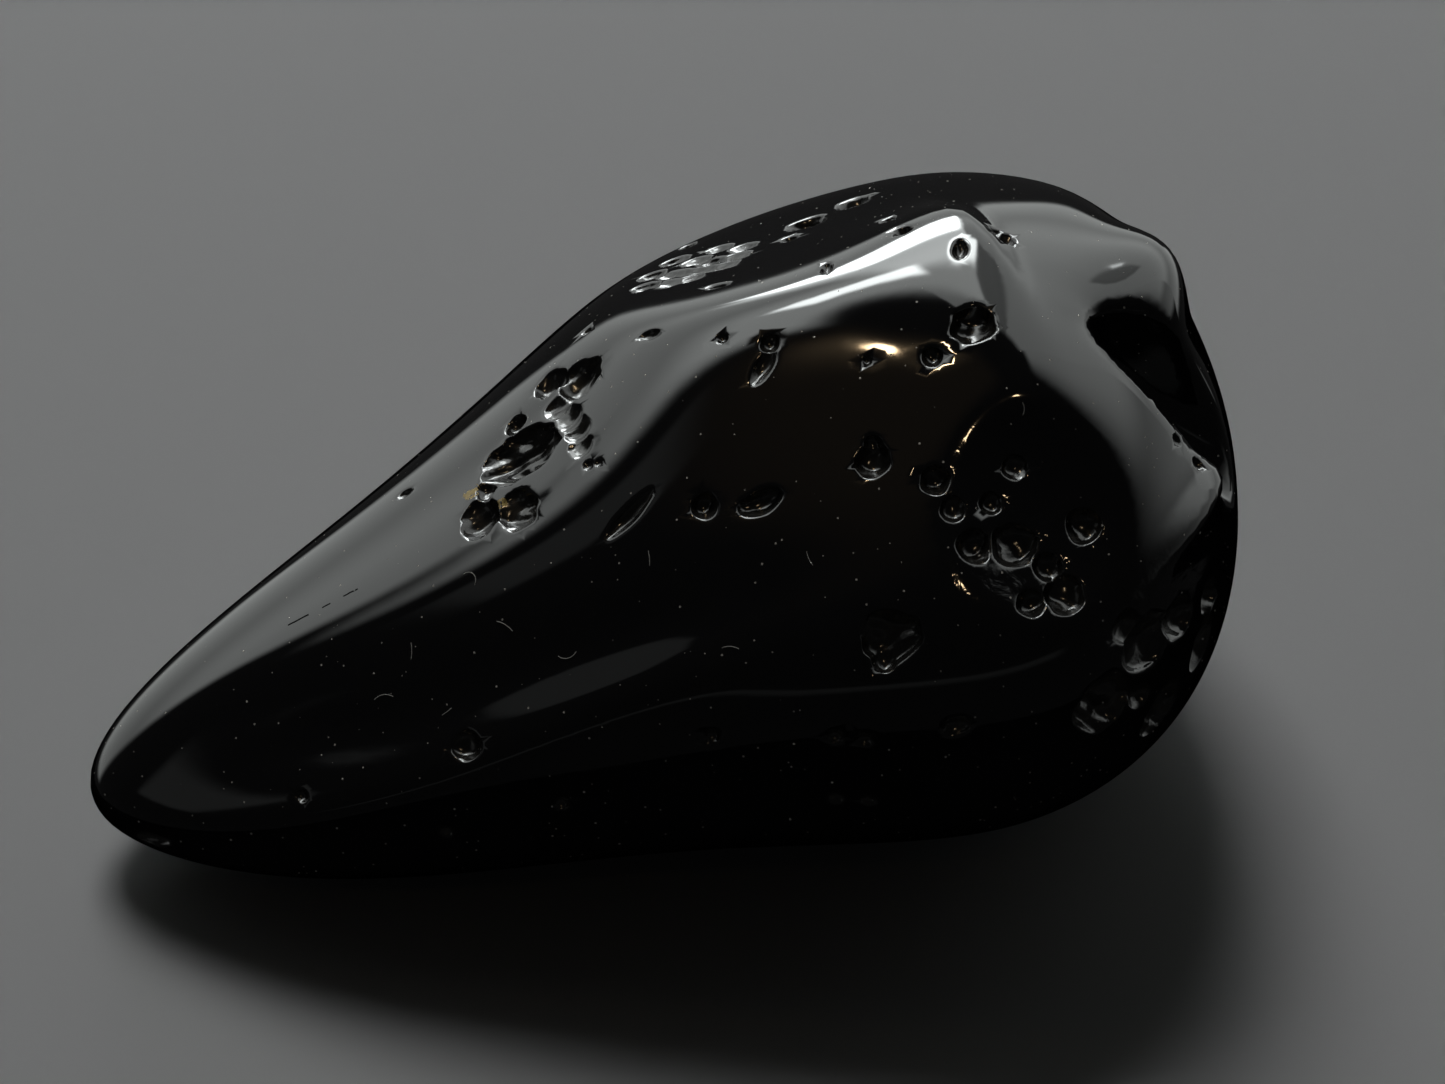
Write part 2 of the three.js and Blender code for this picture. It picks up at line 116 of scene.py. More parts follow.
# Pits: place along the stone (mm), turn round it from the top towards the front
# (degrees), opening radius, depth, then for long pits a stretch and a slant (degrees)
PITS = [
    # two joined pits high on the narrow half, and the shallow channel below them
    (-3.1, -4, 1.1, 0.85),
    (-4.2, -12, 0.85, 0.65),
    (-4.1, -1, 0.68, 0.3),
    (-3.8, 5, 0.68, 0.3),
    (-3.5, 10, 0.65, 0.28),
    (-3.5, 15, 0.55, 0.25),
    (-3.3, 21, 0.2, 0.15),
    (-2.9, 22, 0.15, 0.12),
    # hollow with round pits below them
    (-5.8, 4, 1.35, 0.95, 1.5, -8),
    (-5.8, -8, 0.55, 0.5),
    (-7.3, 7, 0.5, 0.5),
    (-7.7, 15, 0.95, 0.65),
    (-6.2, 20, 0.95, 0.5),
    # nicks beside the crest
    (-2.4, -21, 0.25, 0.2),
    (-0.2, 0, 0.3, 0.25, 1.8, -30),
    (2.4, 11, 0.22, 0.2),
    (2.9, -10, 0.28, 0.25, 2.0, -35),
    (-10.5, -19, 0.25, 0.2, 1.7, -30),
    # hammered patch behind the crest
    (0.4, -32, 0.5, 0.25, 1.4, -30),
    (0.9, -40, 0.55, 0.3, 1.3, -30),
    (1.3, -27, 0.5, 0.22, 1.5, -35),
    (1.7, -34, 0.5, 0.25, 1.6, -30),
    (2.1, -46, 0.55, 0.3, 1.3, -30),
    (2.2, -25, 0.5, 0.25, 1.4, -35),
    (2.6, -30, 0.5, 0.22, 1.8, -30),
    (2.8, -39, 0.5, 0.25, 1.5, -30),
    (3.3, -34, 0.5, 0.3, 1.4, -35),
    (3.6, -26, 0.5, 0.22, 1.6, -30),
    (4.0, -43, 0.5, 0.25, 1.3, -30),
    (4.3, -31, 0.5, 0.25, 1.5, -35),
    (4.8, -37, 0.5, 0.22, 1.4, -30),
    (3.0, -56, 0.45, 0.3),
    # pits on the back slope
    (7.7, -40, 0.9, 0.7),
    (6.6, -31, 0.4, 0.3),
    (9.9, -44, 0.8, 0.6),
    (10.2, -16, 0.38, 0.4),
    (10.2, -3, 0.4, 0.4),
    (6.9, 2, 0.27, 0.35, 2.0, 80),
    # pits on the crown
    (12.0, 7, 0.3, 0.35, 1.9, 75),
    (14.2, 2, 0.45, 0.4),
    (13.9, 0, 0.3, 0.25),
    (11.7, 23, 0.88, 0.8),
    (10.0, 27, 0.42, 0.4),
    (7.6, 25, 0.18, 0.16),
    # pits on the front cheek
    (4.1, 16, 0.4, 0.35),
    (3.7, 20, 0.36, 0.3, 2.2, 50),
    (7.2, 43, 0.68, 0.6),
    (7.3, 40, 0.35, 0.35),
    (2.9, 45, 0.5, 0.5, 1.8, 15),
    (2.3, 45, 0.35, 0.35),
    (0.8, 42, 0.52, 0.45),
    (-2.0, 37, 0.32, 0.28, 4.0, 35),
    (7.0, 70, 1.15, 0.6),
    (6.7, 73, 0.5, 0.5),
    (7.7, 69, 0.5, 0.45),
    # pits low on the front
    (0.2, 81, 0.3, 0.25),
    (4.8, 84, 0.3, 0.25),
    (5.9, 85, 0.3, 0.25),
    (9.3, 84, 0.42, 0.35, 1.4, 20),
    (4.9, 97, 0.4, 0.3),
    (6.2, 98, 0.4, 0.3),
    (-5.7, 89, 0.3, 0.25),
    (-10.3, 91, 0.3, 0.25),
    (-9.2, 70, 0.65, 0.45),
    (-15.9, 73, 0.25, 0.2),
    # oval pit under the tip
    (-22.4, 98, 0.42, 0.4, 2.6, 25),
    # pits on the near lobe of the thick end
    (19.6, 48, 0.25, 0.22),
    (20.5, 53, 0.3, 0.28),
    # pits in the bowl
    (9.4, 48, 0.6, 0.5),
    (9.9, 53, 0.5, 0.4),
    (10.5, 59, 0.7, 0.55),
    (12.1, 60, 0.9, 0.6),
    (12.4, 68, 0.6, 0.5),
    (13.8, 68, 0.8, 0.6),
    (14.9, 59, 0.7, 0.5),
    (11.4, 53, 0.45, 0.35),
    (13.3, 64, 0.6, 0.5),
    (12.5, 48, 0.5, 0.3),
    # cavity low on the thick end
    (15.3, 86, 1.25, 0.7, 1.2, 30),
    (17.2, 79, 1.1, 0.6, 1.3, 30),
    (18.9, 78, 0.9, 0.6),
    (20.7, 79, 0.8, 0.6),
    (18.4, 95, 1.1, 0.55, 1.3, 60),
    (20.4, 88, 0.9, 0.7, 1.4, 60),
    (16.3, 75, 0.7, 0.45),
    (17.0, 88, 0.6, 0.4),
    # the back and the underside, finished in the same way
    (14.0, -89, 1.1, 0.75),
    (15.5, -82, 0.6, 0.5),
    (4.7, -91, 0.9, 0.65, 1.5, -15),
    (-3.6, -84, 0.7, 0.5),
    (-10.5, -89, 0.5, 0.4),
    (20.8, -72, 0.75, 0.55),
    (22.8, -120, 0.6, 0.45),
    (9.0, -121, 0.8, 0.55),
    (-16.9, -93, 0.4, 0.3),
    (18.3, 137, 0.7, 0.5),
]

# Worn zones with a finely hammered floor: middle and reach, and how steeply they fade
WORN_ZONES = [
    ((12.7, -11.8, 21.3), 4.4),
    ((18.0, -13.0, 14.3), 5.0),
]
WORN_FADE = 2.5

# A pit's own finish is full this deep below the smooth skin (mm)
PIT_FULL = 0.15

# Mesh edges in mm: on the plain skin, round a pit (a share of its radius, but not
# under EDGE_IN_PIT), and within RIM_BAND of a pit's rim
EDGE_PLAIN = 0.75
EDGE_PER_RADIUS = 0.2
EDGE_IN_PIT = 0.13
EDGE_AT_RIM = 0.09
RIM_BAND = 0.1

# The fine mesh reaches this many half lengths of a pit from its foot, and this many mm more
FINE_REACH = 1.15
FINE_MARGIN = 0.15

# First mesh: splits of an icosahedron's sides, digits that tell its points apart. Then
# the rounds of refining at most.
SEED_SPLITS = 12
MERGE_DIGITS = 6
REFINE_ROUNDS = 8

# Rays: share of the spine that the mesh's rays start on, length of the ray that places a
# pit, a fibre or a mark (mm)
SPINE_REACH = 0.75
RAY_LENGTH = 16.0

# Casting: start in ray lengths, share of the distance moved in a step, steps at most,
# and how near the skin is near enough (mm)
CAST_FROM = 1.3
CAST_STEP = 0.8
CAST_STEPS = 80
CAST_NEAR = 1e-4

# Sinking into the pits: steps, and how far past its ellipsoid a pit may still reach (mm)
SINK_STEPS = 30
PIT_MARGIN = 0.5

# Slopes are measured over this step (mm), and TINY keeps a division from being by zero
SLOPE_STEP = 0.01
TINY = 1e-9


# ---- The distance field (arrays of points, one per row) ----

def unit(v):
    v = np.asarray(v, float)
    return v / np.linalg.norm(v, axis=-1, keepdims=True)


def smooth_max(a, b, blend):
    """The larger of a and b, with the edge between them rounded."""
    return blend * np.logaddexp(a / blend, b / blend)


def station(values, u):
    """Uniform cubic B-spline led by the stations' values, at u in [-1, 1]."""
    values = np.asarray(values, float)
    first = 2 * values[0] - values[1]
    last = 2 * values[-1] - values[-2]
    padded = np.concatenate([[first], values, [last]])
    spans = len(values) - 1
    t = (np.clip(u, -STATIONS_REACH, STATIONS_REACH) + 1) / 2 * spans
    i = np.clip(np.floor(t).astype(int), 0, spans - 1)
    f = t - i
    return (
        padded[i] * (1 - f) ** 3
        + padded[i + 1] * (3 * f ** 3 - 6 * f ** 2 + 4)
        + padded[i + 2] * (-3 * f ** 3 + 3 * f ** 2 + 3 * f + 1)
        + padded[i + 3] * f ** 3
    ) / 6


def round_distance(offsets, radii):
    """Distance to an ellipsoid's surface, true near it."""
    near = np.sqrt(sum((d / r) ** 2 for d, r in zip(offsets, radii)))
    slope = np.sqrt(sum((d / r ** 2) ** 2 for d, r in zip(offsets, radii)))
    return near * (near - 1) / (slope + TINY)


def loft_distance(p):
    u = p[:, 0] / HALF_LENGTH
    offsets = (
        p[:, 0],
        p[:, 1] - station(SPINE_SIDEWAYS, u),
        p[:, 2] - station(SPINE_HEIGHT, u),
    )
    return round_distance(offsets, (HALF_LENGTH, station(HALF_WIDTH, u), station(HALF_HEIGHT, u)))


def swell_rise(p, start, end, radius, rise):
    start, end = np.array(start), np.array(end)
    half = np.linalg.norm(end - start) / 2
    offset = p - (start + end) / 2
    along = offset @ (end - start) / (2 * half)
    across = (offset ** 2).sum(axis=1) - along ** 2
    return rise * np.exp(-(along / half) ** 2 - across / radius ** 2)


def crown_rise(p):
    middle = (np.array(CROWN[0]) + np.array(CROWN[1])) / 2
    beyond = (p - middle) @ unit(LEDGE_FACES)
    return swell_rise(p, *CROWN) / (1 + np.exp(beyond / LEDGE_EDGE))


def axes_for(outward, along):
    """Three axes: along the surface, across it, and outward."""
    n = unit(outward)
    a = unit(np.asarray(along, float) - np.dot(along, n) * n)
    return np.array([a, np.cross(n, a), n])


def hollow_distance(p, centre, axes, radii):
    offsets = (p - centre) @ axes.T
    return round_distance(offsets.T, radii)


def body_distance(p):
    f = loft_distance(p)
    for swell in SWELLS:
        f = f - swell_rise(p, *swell)
    for outward, distance, blend in FACETS:
        f = smooth_max(f, p @ unit(outward) - distance, blend)
    f = f - crown_rise(p)
    for centre, outward, along, radii, blend in HOLLOWS:
        f = smooth_max(f, -hollow_distance(p, centre, axes_for(outward, along), radii), blend)
    return smooth_max(f, -p[:, 2] - REST_SINK, REST_BLEND)


def gradient(field, p):
    slopes = []
    for axis in np.eye(3) * SLOPE_STEP:
        slopes.append((field(p + axis) - field(p - axis)) / (2 * SLOPE_STEP))
    return np.stack(slopes, axis=1)


def cast_onto_body(start, ray):
    """How far along start + t * ray the smooth body is met, coming from outside."""
    length = np.linalg.norm(ray, axis=1)
    t = np.full(len(start), CAST_FROM)
    moving = np.arange(len(start))
    for _ in range(CAST_STEPS):
        f = body_distance(start[moving] + ray[moving] * t[moving, None])
        t[moving] -= CAST_STEP * f / length[moving]
        moving = moving[np.abs(f) > CAST_NEAR]
        if not len(moving):
            break
    return t


# ---- Pits ----

def spine(u):
    return np.stack([u * HALF_LENGTH, station(SPINE_SIDEWAYS, u), station(SPINE_HEIGHT, u)], axis=1)


def skin_frame(x, turn):
    """The smooth skin's point and axes at a place along the stone and a turn round it."""
    angle = math.radians(turn)
    start = spine(np.array([x / HALF_LENGTH]))
    ray = np.array([[0.0, -math.sin(angle), math.cos(angle)]]) * RAY_LENGTH
    foot = start + ray * cast_onto_body(start, ray)[:, None]
    return foot[0], axes_for(gradient(body_distance, foot)[0], (1.0, 0.0, 0.0))


def place_pit(x, turn, radius, depth, stretch=1.0, slant=0.0):
    """An ellipsoid whose centre stands a little above the surface, ready to cut."""
    foot, level = skin_frame(x, turn)
    outward = level[2]
    lean = math.radians(slant)
    along = math.cos(lean) * level[0] + math.sin(lean) * level[1]
    opening = radius / math.sqrt(1 - (PIT_STANDOFF / (1 + PIT_STANDOFF)) ** 2)
    return {
        "foot": foot,
        "centre": foot + outward * depth * PIT_STANDOFF,
        "axes": axes_for(outward, along),
        "radii": (opening * stretch, opening, depth * (1 + PIT_STANDOFF)),
        "radius": radius,
        "stretch": stretch,
    }


pits = [place_pit(*pit) for pit in PITS]


def wobble(p):
    """An uneven wave in space, about -1 to 1, that roughens the pits' walls."""
    x, y, z = (p * (2 * math.pi / np.array(PIT_WOBBLE_PITCH))).T
    far_x, often_x, start_x = WOBBLE_BEND_X
    far_y, often_y, start_y = WOBBLE_BEND_Y
    bent_x = x + far_x * np.sin(often_x * y + start_x)
    bent_y = y + far_y * np.sin(often_y * z + start_y) + WOBBLE_LEAN * z
    return np.sin(bent_x) * np.sin(bent_y)


def pits_near(p):
    """For each pit, the rows of p that it may touch."""
    near = []
    for pit in pits:
        reach = max(pit["radii"]) + PIT_MARGIN
        box = np.abs(p - pit["foot"]).max(axis=1)
        near.append(np.flatnonzero(box < reach))
    return near


def cut_pits(f, p, near):
    """Takes the pits out of the body distances f at the points p; near is from pits_near."""
    f = f.copy()
    for pit, rows in zip(pits, near):
        if len(rows):
            cut = -hollow_distance(p[rows], pit["centre"], pit["axes"], pit["radii"])
            cut += PIT_WOBBLE * pit["radius"] * wobble(p[rows])
            f[rows] = smooth_max(f[rows], cut, PIT_ROUNDING)
    return f


# ---- Objects and plain materials ----

def add_object(name, data):
    thing = bpy.data.objects.new(name, data)
    bpy.context.scene.collection.objects.link(thing)
    return thing


def plain_material(name, colour, roughness):
    material = bpy.data.materials.new(name)
    material.use_nodes = True
    shader = material.node_tree.nodes["Principled BSDF"]
    shader.inputs["Base Color"].default_value = colour
    shader.inputs["Roughness"].default_value = roughness
    return material


# ---- The stone's mesh ----

def wanted_edge(p):
    """How long a mesh edge may be at each point."""
    edge = np.full(len(p), EDGE_PLAIN)
    for pit in pits:
        d = p - pit["foot"]
        reach = pit["radius"] * pit["stretch"] * FINE_REACH + FINE_MARGIN
        near = (d ** 2).sum(axis=1) < reach ** 2
        edge[near] = np.minimum(edge[near], max(EDGE_IN_PIT, pit["radius"] * EDGE_PER_RADIUS))
        along, across, _ = pit["axes"] @ d[near].T
        from_rim = np.abs(np.hypot(along / pit["stretch"], across) - pit["radius"])
        edge[np.flatnonzero(near)[from_rim < RIM_BAND]] = EDGE_AT_RIM
    return edge


def sink_into_pits(skin, inward):
    """The skin points moved inward, each to where it meets glass."""
    near = pits_near(skin)
    below = body_distance(skin + inward * SLOPE_STEP)
    lean = (body_distance(skin) - below) / SLOPE_STEP
    depth = np.zeros(len(skin))
    for _ in range(SINK_STEPS):
        p = skin + inward * depth[:, None]
        depth += CAST_STEP * cut_pits(-depth * lean, p, near)
    return skin + inward * depth[:, None]


def cast_sphere(s):
    """The stone's surface point for each point s of the unit sphere."""
    u = s[:, 0]
    start = spine(u * SPINE_REACH)
    ray = spine(u) - start
    ray[:, 1] += s[:, 1] * station(HALF_WIDTH, u)
    ray[:, 2] += s[:, 2] * station(HALF_HEIGHT, u)
    skin = start + ray * cast_onto_body(start, ray)[:, None]
    return sink_into_pits(skin, -unit(ray))


def seed_sphere():
    """An icosahedron with every face split into SEED_SPLITS squared triangles."""
    g = (1 + 5 ** 0.5) / 2  # the golden ratio
    corners = unit([
        (-1, g, 0), (1, g, 0), (-1, -g, 0), (1, -g, 0), (0, -1, g), (0, 1, g),
        (0, -1, -g), (0, 1, -g), (g, 0, -1), (g, 0, 1), (-g, 0, -1), (-g, 0, 1),
    ])
    faces = [
        (0, 11, 5), (0, 5, 1), (0, 1, 7), (0, 7, 10), (0, 10, 11), (1, 5, 9), (5, 11, 4),
        (11, 10, 2), (10, 7, 6), (7, 1, 8), (3, 9, 4), (3, 4, 2), (3, 2, 6), (3, 6, 8),
        (3, 8, 9), (4, 9, 5), (2, 4, 11), (6, 2, 10), (8, 6, 7), (9, 8, 1),
    ]
    n = SEED_SPLITS
    points, triangles = [], []
    for a, b, c in faces:
        base = len(points)
        index = {}
        for i in range(n + 1):
            for j in range(n + 1 - i):
                index[i, j] = base + len(index)
                points.append(corners[a] * (n - i - j) + corners[b] * i + corners[c] * j)
        for i in range(n):
            for j in range(n - i):
                triangles.append((index[i, j], index[i + 1, j], index[i, j + 1]))
                if i + j < n - 1:
                    triangles.append((index[i + 1, j], index[i + 1, j + 1], index[i, j + 1]))
    points = unit(points)
    _, first, inverse = np.unique(
        np.round(points, MERGE_DIGITS), axis=0, return_index=True, return_inverse=True
    )
    return points[first], inverse.reshape(-1)[np.array(triangles)]


# Triangles made of one, by how many of its sides are cut. Its corners are 0, 1 and 2 and
# its sides' middles 3 (of 0-1), 4 (of 1-2) and 5 (of 2-0). Side 0-1 is the one cut side,
# or the one whole side.
SPLITS = {
    0: [(0, 1, 2)],
    1: [(0, 3, 2), (3, 1, 2)],
    2: [(0, 1, 4), (0, 4, 5), (5, 4, 2)],
    3: [(0, 3, 5), (3, 1, 4), (5, 4, 2), (3, 4, 5)],
}


def split_triangles(triangles, middles):
    """Cuts each triangle at its sides' middles; a side that stays whole has the middle -1."""
    cut = middles >= 0
    count = cut.sum(axis=1)
    first = np.where(count == 2, cut.argmin(axis=1), cut.argmax(axis=1))
    order = (first[:, None] + np.arange(3)) % 3
    corners = np.take_along_axis(triangles, order, axis=1)
    middles = np.take_along_axis(middles, order, axis=1)
    spots = np.hstack([corners, middles])
    return np.vstack([
        spots[count == number][:, piece] for number, pieces in SPLITS.items() for piece in pieces
    ])


def refine(sphere, points, triangles):
    """Splits every edge that is longer than wanted, and says whether any was."""
    sides = np.sort(triangles[:, [0, 1, 1, 2, 2, 0]].reshape(-1, 2), axis=1)
    edges, inverse = np.unique(sides, axis=0, return_inverse=True)
    ends = points[edges]
    length = np.linalg.norm(ends[:, 0] - ends[:, 1], axis=1)
    long = length > wanted_edge(ends.mean(axis=1))
    if not long.any():
        return sphere, points, triangles, False
    middle = np.full(len(edges), -1)
    middle[long] = len(points) + np.arange(long.sum())
    new_sphere = unit(sphere[edges[long]].sum(axis=1))
    sphere = np.vstack([sphere, new_sphere])
    points = np.vstack([points, cast_sphere(new_sphere)])
    triangles = split_triangles(triangles, middle[inverse.reshape(-1)].reshape(-1, 3))
    return sphere, points, triangles, True


def pit_share(points):
    """0 on the smooth skin, 1 where a pit lies PIT_FULL mm or more below it."""
    return np.clip(-body_distance(points) / PIT_FULL, 0.0, 1.0)


def worn_share(points):
    """1 in the middle of a worn zone, fading to 0 at its reach."""
    share = np.zeros(len(points))
    for middle, reach in WORN_ZONES:
        away = np.linalg.norm(points - middle, axis=1) / reach
        share = np.maximum(share, np.clip(WORN_FADE * (1 - away), 0.0, 1.0))
    return share


def stone_surface():
    """The stone's points and triangles, refined where the pits are."""
    sphere, triangles = seed_sphere()
    points = cast_sphere(sphere)
    for _ in range(REFINE_ROUNDS):
        sphere, points, triangles, grew = refine(sphere, points, triangles)
        if not grew:
            break
    return points, triangles


def make_stone(name):
    """The stone's object, with normals straight from the field and its pits and wear marked."""
    points, triangles = stone_surface()
    near = pits_near(points)
    shares = {"pit": pit_share(points), "worn": worn_share(points)}
    normals = unit(gradient(lambda p: cut_pits(body_distance(p), p, near), points))
    points[:, 2] = np.maximum(points[:, 2], 0.0)
    points[:, :2] -= BOX_MIDDLE
    mesh = bpy.data.meshes.new(name)
    mesh.from_pydata((points * MM).tolist(), [], triangles.tolist())
    mesh.polygons.foreach_set("use_smooth", [True] * len(triangles))
    mesh.normals_split_custom_set_from_vertices(normals.tolist())
    for kind, share in shares.items():
        mesh.attributes.new(kind, "FLOAT", "POINT").data.foreach_set("value", share)
    return add_object(name, mesh)


# ---- Finish ----

# Black glass. PIT_ROUGHNESS is added in the pits.
BLACK = (0.006, 0.006, 0.0065, 1.0)
GLASS_IOR = 1.5
GLASS_GLOSS = 0.5
SKIN_ROUGHNESS = 0.055
PIT_ROUGHNESS = 0.1

# Tiny waves in the glass: length and height (mm), then detail and distortion. The first
# two are all over the tumbled skin, the others only in the pits and in the worn zones.
LONG_WAVE = (6.0, 0.01)
SHORT_WAVE = (1.6, 0.0015)
PIT_WAVE = (0.8, 0.03, 3.0, 0.6)
WORN_WAVE = (0.7, 0.05, 3.0, 0.4)

# Pale residue and painted sheen in the pits, a lighter colour in patches: length of its patches
# (mm) and the share covered on average
RESIDUE_AND_SHEEN_COLOUR = (0.035, 0.033, 0.028, 1.0)
RESIDUE_AND_SHEEN_PATCH = 0.7
RESIDUE_AND_SHEEN_COVER = 0.4

# Dust specks: spacing and largest radius (mm), share of cells that hold one
SPECK_COLOUR = (0.5, 0.47, 0.42, 1.0)
SPECK_ROUGHNESS = 0.5
SPECK_SPACING = 0.42
SPECK_RADIUS = 0.05
SPECK_SHARE = 0.75

# Hairline scratch: place along the stone, turn, half its length and half its width (mm)
SCRATCH = (-14.2, 10, 1.9, 0.04)
# Length of its wander, and how far it strays from side to side (mm)
SCRATCH_WANDER = (1.5, 0.25)
# Length of its breaks (mm), and the noise below which it is broken
SCRATCH_BREAKS = 0.45
SCRATCH_BREAK_LEVEL = -0.03

# Painted warm glints: spots of ochre colour held in pits, standing in for the warm lamp's glints.
# Place along the stone, turn and reach (mm)
PAINTED_GLINT_SPOTS = [(-7.9, 4, 0.4), (-6.8, 15, 0.25)]
PAINTED_GLINT_COLOUR = (0.4, 0.29, 0.1, 1.0)
PAINTED_GLINT_ROUGHNESS = 0.4
# Size of the painted glints' grains (mm), and the noise below which there is none
PAINTED_GLINT_GRAIN = 0.25
PAINTED_GLINT_LEVEL = -0.02


class Graph:
    """Small helper that adds and links shader nodes."""

    # The Mix node's colour sockets, which share their names with its others
    MIX_COLOUR_A = 6
    MIX_COLOUR_B = 7
    MIX_COLOUR_RESULT = 2

    def __init__(self, material):
        self.nodes = material.node_tree.nodes
        self.links = material.node_tree.links

    def add(self, kind, settings=None, **inputs):
        node = self.nodes.new(kind)
        for key, value in (settings or {}).items():
            setattr(node, key, value)
        for key, value in inputs.items():
            self.put(node.inputs[key.replace("_", " ")], value)
        return node

    def put(self, socket, value):
        if isinstance(value, bpy.types.NodeSocket):
            self.links.new(value, socket)
        else:
            socket.default_value = value

    def math(self, operation, a, b=0.0):
        node = self.nodes.new("ShaderNodeMath")
        node.operation = operation
        self.put(node.inputs[0], a)
        self.put(node.inputs[1], b)
        return node.outputs[0]

    def vector(self, operation, a, b=(0.0, 0.0, 0.0), result="Vector"):
        node = self.nodes.new("ShaderNodeVectorMath")
        node.operation = operation
        self.put(node.inputs[0], a)
        self.put(node.inputs[1], b)
        return node.outputs[result]

    def noise(self, place, wave_length, detail=2.0, distortion=0.0):
        """Noise from about -0.5 to 0.5 with waves of the given length in mm."""
        node = self.add("ShaderNodeTexNoise", Vector=place, Scale=1 / (wave_length * MM),
                        Detail=detail, Distortion=distortion)
        return self.math("SUBTRACT", node.outputs["Fac"], 0.5)

    def waves(self, place, wave_length, height, detail=2.0, distortion=0.0):
        """Noise as a height, in the unit that the height is given in."""
        return self.math("MULTIPLY", self.noise(place, wave_length, detail, distortion), height)

    def mix(self, share, a, b):
        """Colour a with a share of colour b."""
        node = self.nodes.new("ShaderNodeMix")
        node.data_type = "RGBA"
        self.put(node.inputs["Factor"], share)
        self.put(node.inputs[self.MIX_COLOUR_A], a)
        self.put(node.inputs[self.MIX_COLOUR_B], b)
        return node.outputs[self.MIX_COLOUR_RESULT]

    def bump(self, height_mm, below=None):
        """Bump from a height in mm, laid over an earlier bump."""
        node = self.add("ShaderNodeBump", Height=height_mm, Distance=MM, Strength=1.0)
        if below is not None:
            self.put(node.inputs["Normal"], below)
        return node.outputs["Normal"]


def specks(graph, place):
    """1 on a dust speck, 0 elsewhere."""
    cells = graph.add("ShaderNodeTexVoronoi", Vector=place, Scale=1 / (SPECK_SPACING * MM))
    chance = graph.add("ShaderNodeSeparateColor", Color=cells.outputs["Color"]).outputs
    held = graph.math("LESS_THAN", chance["Red"], SPECK_SHARE)
    radius = graph.math("MULTIPLY", chance["Green"], SPECK_RADIUS / SPECK_SPACING)
    return graph.math("MULTIPLY", held, graph.math("LESS_THAN", cells.outputs["Distance"], radius))


def from_skin_place(graph, place, foot):
    """Offset of the shaded point from a place on the skin."""
    return graph.vector("SUBTRACT", place, tuple((foot - (*BOX_MIDDLE, 0.0)) * MM))


def scratch(graph, place):
    """1 on the hairline scratch, 0 elsewhere. It runs along the stone and wanders sideways."""
    x, turn, half_length, half_width = SCRATCH
    wander_length, wander = SCRATCH_WANDER
    foot, axes = skin_frame(x, turn)
    offset = from_skin_place(graph, place, foot)
    beside = graph.vector("DOT_PRODUCT", offset, tuple(axes[1]), "Value")
    beside = graph.math("ADD", beside, graph.waves(place, wander_length, wander * MM))
    on_line = graph.math("LESS_THAN", graph.math("ABSOLUTE", beside), half_width * MM)
    away = graph.vector("LENGTH", offset, result="Value")
    within = graph.math("LESS_THAN", away, half_length * MM)
    unbroken = graph.math(
        "GREATER_THAN", graph.noise(place, SCRATCH_BREAKS), SCRATCH_BREAK_LEVEL
    )
    return graph.math("MULTIPLY", graph.math("MULTIPLY", on_line, within), unbroken)


def painted_glints(graph, place):
    """1 on the painted warm glints, 0 elsewhere."""
    held = 0.0
    for x, turn, reach in PAINTED_GLINT_SPOTS:
        offset = from_skin_place(graph, place, skin_frame(x, turn)[0])
        away = graph.vector("LENGTH", offset, result="Value")
        held = graph.math("MAXIMUM", held, graph.math("LESS_THAN", away, reach * MM))
    grains = graph.math("GREATER_THAN", graph.noise(place, PAINTED_GLINT_GRAIN), PAINTED_GLINT_LEVEL)
    return graph.math("MULTIPLY", held, grains)


def glass_relief(graph, place, pit, worn):
    """The normal of the tumbled skin, rougher in the pits and in the worn zones."""
    waves = graph.math("ADD", graph.waves(place, *LONG_WAVE), graph.waves(place, *SHORT_WAVE))
    skin = graph.bump(waves)
    rough = graph.math("MULTIPLY", graph.waves(place, *PIT_WAVE), pit)
    hammered = graph.math("MULTIPLY", graph.waves(place, *WORN_WAVE), worn)
    return graph.bump(graph.math("ADD", rough, hammered), skin)


def black_glass():
    material = bpy.data.materials.new("black_glass")
    material.use_nodes = True
    graph = Graph(material)
    shader = graph.nodes["Principled BSDF"]
    place = graph.add("ShaderNodeTexCoord").outputs["Object"]
    pit = graph.add("ShaderNodeAttribute", {"attribute_name": "pit"}).outputs["Fac"]
    worn = graph.add("ShaderNodeAttribute", {"attribute_name": "worn"}).outputs["Fac"]
    speck = specks(graph, place)

    # pale residue and painted sheen: a lighter colour in patches inside the pits
    patches = graph.math("ADD", graph.noise(place, RESIDUE_AND_SHEEN_PATCH), RESIDUE_AND_SHEEN_COVER)
    residue_and_sheen = graph.math("MULTIPLY", pit, patches)
    # painted warm glints: ochre colour in two pits standing in for the warm lamp's glints
    painted_glint = painted_glints(graph, place)
    colour = graph.mix(residue_and_sheen, BLACK, RESIDUE_AND_SHEEN_COLOUR)
    colour = graph.mix(painted_glint, colour, PAINTED_GLINT_COLOUR)
    colour = graph.mix(speck, colour, SPECK_COLOUR)
    roughness = graph.math("ADD", graph.math("MULTIPLY", pit, PIT_ROUGHNESS), SKIN_ROUGHNESS)
    roughness = graph.math("ADD", roughness, graph.math("MULTIPLY", speck, SPECK_ROUGHNESS))
    roughness = graph.math("ADD", roughness, graph.math("MULTIPLY", painted_glint, PAINTED_GLINT_ROUGHNESS))
    whole = graph.math("SUBTRACT", 1.0, scratch(graph, place))

    graph.put(shader.inputs["Base Color"], colour)
    graph.put(shader.inputs["Roughness"], roughness)
    graph.put(shader.inputs["Specular IOR Level"], graph.math("MULTIPLY", whole, GLASS_GLOSS))
    graph.put(shader.inputs["Normal"], glass_relief(graph, place, pit, worn))
    shader.inputs["IOR"].default_value = GLASS_IOR
    return material


# ---- Lint: fine fibres lying on the skin ----

